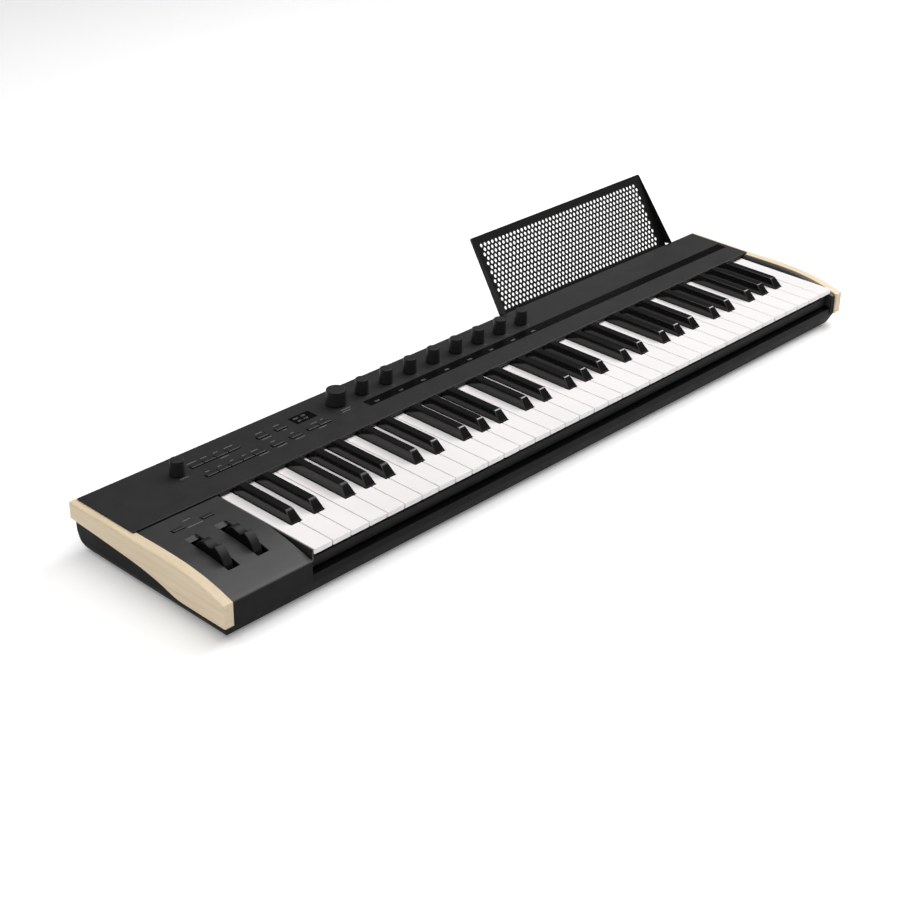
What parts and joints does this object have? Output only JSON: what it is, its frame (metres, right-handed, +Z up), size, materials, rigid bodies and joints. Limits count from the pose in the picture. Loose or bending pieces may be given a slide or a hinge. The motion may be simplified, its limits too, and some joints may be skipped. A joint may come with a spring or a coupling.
{
  "type": "synthesizer",
  "caption": "Slim keyboard synthesizer with wooden cheeks, pitch and modulation wheels, encoders, buttons, display strip and a lift-off perforated music stand.",
  "frame": {"origin": "middle of the whole object's box, at the level the rubber feet stand on", "axes": "+X along the keyboard towards the high notes, +Y from the player to the back, +Z up"},
  "size_m": [0.977, 0.2792, 0.1341],
  "materials": {
    "base_plastic": "fine matt texture",
    "charcoal_panel": "satin powder coat",
    "charcoal_plastic": "satin, fine texture",
    "pale_wood": "oiled, straight grain",
    "white_key": "semi-gloss",
    "black_key": "gloss",
    "knob_plastic": "soft-touch",
    "button_rubber": "matt",
    "window_gloss": "polished",
    "black_sheet_metal": "satin black",
    "circuit_board": "solder mask",
    "rubber": "matt",
    "chassis_plastic": "matt",
    "socket_plastic": "satin"
  },
  "bodies": {
    "case": {"base_tray": "base_plastic", "left_cheek": "pale_wood", "right_cheek": "pale_wood", "top_plate": "charcoal_panel", "display_window": "window_gloss", "strip_window": "window_gloss", "wheel_block": "charcoal_plastic", "right_end_block": "charcoal_plastic", "wheel_bracket": "chassis_plastic", "keybed_chassis": "chassis_plastic", "contact_board": "circuit_board", "panel_board": "circuit_board", "main_board": "circuit_board", "jack_panel": "socket_plastic", "stand_holder": "chassis_plastic", "foot_1": "rubber", "foot_2": "rubber", "foot_3": "rubber", "foot_4": "rubber"},
    "music_stand": {"music_stand": "black_sheet_metal"},
    "pitch_wheel": {"pitch_wheel": "knob_plastic"},
    "modulation_wheel": {"modulation_wheel": "knob_plastic"},
    "naturals_1": {"naturals_1": "white_key"},
    "naturals_2": {"naturals_2": "white_key"},
    "naturals_3": {"naturals_3": "white_key"},
    "naturals_4": {"naturals_4": "white_key"},
    "naturals_5": {"naturals_5": "white_key"},
    "sharps_1": {"sharps_1": "black_key"},
    "sharps_2": {"sharps_2": "black_key"},
    "sharps_3": {"sharps_3": "black_key"},
    "sharps_4": {"sharps_4": "black_key"},
    "sharps_5": {"sharps_5": "black_key"},
    "volume_knob": {"volume_knob": "knob_plastic"},
    "value_knob": {"value_knob": "knob_plastic"},
    "knob_1": {"knob_1": "knob_plastic"},
    "knob_2": {"knob_2": "knob_plastic"},
    "knob_3": {"knob_3": "knob_plastic"},
    "knob_4": {"knob_4": "knob_plastic"},
    "knob_5": {"knob_5": "knob_plastic"},
    "knob_6": {"knob_6": "knob_plastic"},
    "knob_7": {"knob_7": "knob_plastic"},
    "knob_8": {"knob_8": "knob_plastic"},
    "button_a1": {"button_a1": "button_rubber"},
    "button_a2": {"button_a2": "button_rubber"},
    "button_a3": {"button_a3": "button_rubber"},
    "button_a4": {"button_a4": "button_rubber"},
    "button_b1": {"button_b1": "button_rubber"},
    "button_b2": {"button_b2": "button_rubber"},
    "button_b3": {"button_b3": "button_rubber"},
    "button_b4": {"button_b4": "button_rubber"},
    "button_b5": {"button_b5": "button_rubber"},
    "button_c1": {"button_c1": "button_rubber"},
    "button_c2": {"button_c2": "button_rubber"},
    "button_d1": {"button_d1": "button_rubber"},
    "button_d2": {"button_d2": "button_rubber"},
    "button_e1": {"button_e1": "button_rubber"},
    "button_e2": {"button_e2": "button_rubber"},
    "button_f1": {"button_f1": "button_rubber"},
    "button_f2": {"button_f2": "button_rubber"},
    "power_button": {"power_button": "button_rubber"}
  },
  "joints": [
    {"name": "music_stand_lift", "type": "slide", "parent": "case", "child": "music_stand", "axis": [0, 0, 1], "range_m": [0, 0.025]},
    {"name": "pitch_wheel_turn", "type": "hinge", "parent": "case", "child": "pitch_wheel", "pos_m": [-0.4459, -0.07779, 0.0435], "axis": [1, 0, 0], "range_deg": [-30, 30], "stiffness_Nm_per_rad": 0.06},
    {"name": "modulation_wheel_turn", "type": "hinge", "parent": "case", "child": "modulation_wheel", "pos_m": [-0.4111, -0.07779, 0.0435], "axis": [1, 0, 0], "range_deg": [-30, 30]},
    {"name": "naturals_1_press", "type": "hinge", "parent": "case", "child": "naturals_1", "pos_m": [-0.29375, 0.05321, 0.045], "axis": [1, 0, 0], "range_deg": [0, 3.05], "stiffness_Nm_per_rad": 3, "springref_deg": -11.46},
    {"name": "naturals_2_press", "type": "hinge", "parent": "case", "child": "naturals_2", "pos_m": [-0.12925, 0.05321, 0.045], "axis": [1, 0, 0], "range_deg": [0, 3.05], "stiffness_Nm_per_rad": 3, "springref_deg": -11.46},
    {"name": "naturals_3_press", "type": "hinge", "parent": "case", "child": "naturals_3", "pos_m": [0.03525, 0.05321, 0.045], "axis": [1, 0, 0], "range_deg": [0, 3.05], "stiffness_Nm_per_rad": 3, "springref_deg": -11.46},
    {"name": "naturals_4_press", "type": "hinge", "parent": "case", "child": "naturals_4", "pos_m": [0.19975, 0.05321, 0.045], "axis": [1, 0, 0], "range_deg": [0, 3.05], "stiffness_Nm_per_rad": 3, "springref_deg": -11.46},
    {"name": "naturals_5_press", "type": "hinge", "parent": "case", "child": "naturals_5", "pos_m": [0.36425, 0.05321, 0.045], "axis": [1, 0, 0], "range_deg": [0, 3.05], "stiffness_Nm_per_rad": 3, "springref_deg": -11.46},
    {"name": "sharps_1_press", "type": "hinge", "parent": "case", "child": "sharps_1", "pos_m": [-0.29375, 0.05321, 0.045], "axis": [1, 0, 0], "range_deg": [0, 3.05], "stiffness_Nm_per_rad": 2, "springref_deg": -11.46},
    {"name": "sharps_2_press", "type": "hinge", "parent": "case", "child": "sharps_2", "pos_m": [-0.12925, 0.05321, 0.045], "axis": [1, 0, 0], "range_deg": [0, 3.05], "stiffness_Nm_per_rad": 2, "springref_deg": -11.46},
    {"name": "sharps_3_press", "type": "hinge", "parent": "case", "child": "sharps_3", "pos_m": [0.03525, 0.05321, 0.045], "axis": [1, 0, 0], "range_deg": [0, 3.05], "stiffness_Nm_per_rad": 2, "springref_deg": -11.46},
    {"name": "sharps_4_press", "type": "hinge", "parent": "case", "child": "sharps_4", "pos_m": [0.19975, 0.05321, 0.045], "axis": [1, 0, 0], "range_deg": [0, 3.05], "stiffness_Nm_per_rad": 2, "springref_deg": -11.46},
    {"name": "sharps_5_press", "type": "hinge", "parent": "case", "child": "sharps_5", "pos_m": [0.36425, 0.05321, 0.045], "axis": [1, 0, 0], "range_deg": [0, 3.05], "stiffness_Nm_per_rad": 2, "springref_deg": -11.46},
    {"name": "volume_knob_turn", "type": "hinge", "parent": "case", "child": "volume_knob", "pos_m": [-0.3843, 0.05301, 0.0558], "axis": [0, 0, -1], "range_deg": [-150, 150]},
    {"name": "value_knob_turn", "type": "hinge", "parent": "case", "child": "value_knob", "pos_m": [-0.1718, 0.05521, 0.0558], "axis": [0, 0, -1], "continuous": true},
    {"name": "knob_1_turn", "type": "hinge", "parent": "case", "child": "knob_1", "pos_m": [-0.1356, 0.05421, 0.0558], "axis": [0, 0, -1], "continuous": true},
    {"name": "knob_2_turn", "type": "hinge", "parent": "case", "child": "knob_2", "pos_m": [-0.0996, 0.05421, 0.0558], "axis": [0, 0, -1], "continuous": true},
    {"name": "knob_3_turn", "type": "hinge", "parent": "case", "child": "knob_3", "pos_m": [-0.0636, 0.05421, 0.0558], "axis": [0, 0, -1], "continuous": true},
    {"name": "knob_4_turn", "type": "hinge", "parent": "case", "child": "knob_4", "pos_m": [-0.0276, 0.05421, 0.0558], "axis": [0, 0, -1], "continuous": true},
    {"name": "knob_5_turn", "type": "hinge", "parent": "case", "child": "knob_5", "pos_m": [0.0084, 0.05421, 0.0558], "axis": [0, 0, -1], "continuous": true},
    {"name": "knob_6_turn", "type": "hinge", "parent": "case", "child": "knob_6", "pos_m": [0.0444, 0.05421, 0.0558], "axis": [0, 0, -1], "continuous": true},
    {"name": "knob_7_turn", "type": "hinge", "parent": "case", "child": "knob_7", "pos_m": [0.0804, 0.05421, 0.0558], "axis": [0, 0, -1], "continuous": true},
    {"name": "knob_8_turn", "type": "hinge", "parent": "case", "child": "knob_8", "pos_m": [0.1164, 0.05421, 0.0558], "axis": [0, 0, -1], "continuous": true},
    {"name": "button_a1_press", "type": "slide", "parent": "case", "child": "button_a1", "axis": [0, 0, -1], "range_m": [0, 0.0007], "stiffness_N_per_m": 200, "springref_m": -0.0015},
    {"name": "button_a2_press", "type": "slide", "parent": "case", "child": "button_a2", "axis": [0, 0, -1], "range_m": [0, 0.0007], "stiffness_N_per_m": 200, "springref_m": -0.0015},
    {"name": "button_a3_press", "type": "slide", "parent": "case", "child": "button_a3", "axis": [0, 0, -1], "range_m": [0, 0.0007], "stiffness_N_per_m": 200, "springref_m": -0.0015},
    {"name": "button_a4_press", "type": "slide", "parent": "case", "child": "button_a4", "axis": [0, 0, -1], "range_m": [0, 0.0007], "stiffness_N_per_m": 200, "springref_m": -0.0015},
    {"name": "button_b1_press", "type": "slide", "parent": "case", "child": "button_b1", "axis": [0, 0, -1], "range_m": [0, 0.0007], "stiffness_N_per_m": 200, "springref_m": -0.0015},
    {"name": "button_b2_press", "type": "slide", "parent": "case", "child": "button_b2", "axis": [0, 0, -1], "range_m": [0, 0.0007], "stiffness_N_per_m": 200, "springref_m": -0.0015},
    {"name": "button_b3_press", "type": "slide", "parent": "case", "child": "button_b3", "axis": [0, 0, -1], "range_m": [0, 0.0007], "stiffness_N_per_m": 200, "springref_m": -0.0015},
    {"name": "button_b4_press", "type": "slide", "parent": "case", "child": "button_b4", "axis": [0, 0, -1], "range_m": [0, 0.0007], "stiffness_N_per_m": 200, "springref_m": -0.0015},
    {"name": "button_b5_press", "type": "slide", "parent": "case", "child": "button_b5", "axis": [0, 0, -1], "range_m": [0, 0.0007], "stiffness_N_per_m": 200, "springref_m": -0.0015},
    {"name": "button_c1_press", "type": "slide", "parent": "case", "child": "button_c1", "axis": [0, 0, -1], "range_m": [0, 0.0007], "stiffness_N_per_m": 200, "springref_m": -0.0015},
    {"name": "button_c2_press", "type": "slide", "parent": "case", "child": "button_c2", "axis": [0, 0, -1], "range_m": [0, 0.0007], "stiffness_N_per_m": 200, "springref_m": -0.0015},
    {"name": "button_d1_press", "type": "slide", "parent": "case", "child": "button_d1", "axis": [0, 0, -1], "range_m": [0, 0.0007], "stiffness_N_per_m": 200, "springref_m": -0.0015},
    {"name": "button_d2_press", "type": "slide", "parent": "case", "child": "button_d2", "axis": [0, 0, -1], "range_m": [0, 0.0007], "stiffness_N_per_m": 200, "springref_m": -0.0015},
    {"name": "button_e1_press", "type": "slide", "parent": "case", "child": "button_e1", "axis": [0, 0, -1], "range_m": [0, 0.0007], "stiffness_N_per_m": 200, "springref_m": -0.0015},
    {"name": "button_e2_press", "type": "slide", "parent": "case", "child": "button_e2", "axis": [0, 0, -1], "range_m": [0, 0.0007], "stiffness_N_per_m": 200, "springref_m": -0.0015},
    {"name": "button_f1_press", "type": "slide", "parent": "case", "child": "button_f1", "axis": [0, 0, -1], "range_m": [0, 0.0007], "stiffness_N_per_m": 200, "springref_m": -0.0015},
    {"name": "button_f2_press", "type": "slide", "parent": "case", "child": "button_f2", "axis": [0, 0, -1], "range_m": [0, 0.0007], "stiffness_N_per_m": 200, "springref_m": -0.0015},
    {"name": "power_button_press", "type": "slide", "parent": "case", "child": "power_button", "axis": [0, -1, 0], "range_m": [0, 0.0015], "stiffness_N_per_m": 250, "springref_m": -0.0015}
  ]
}
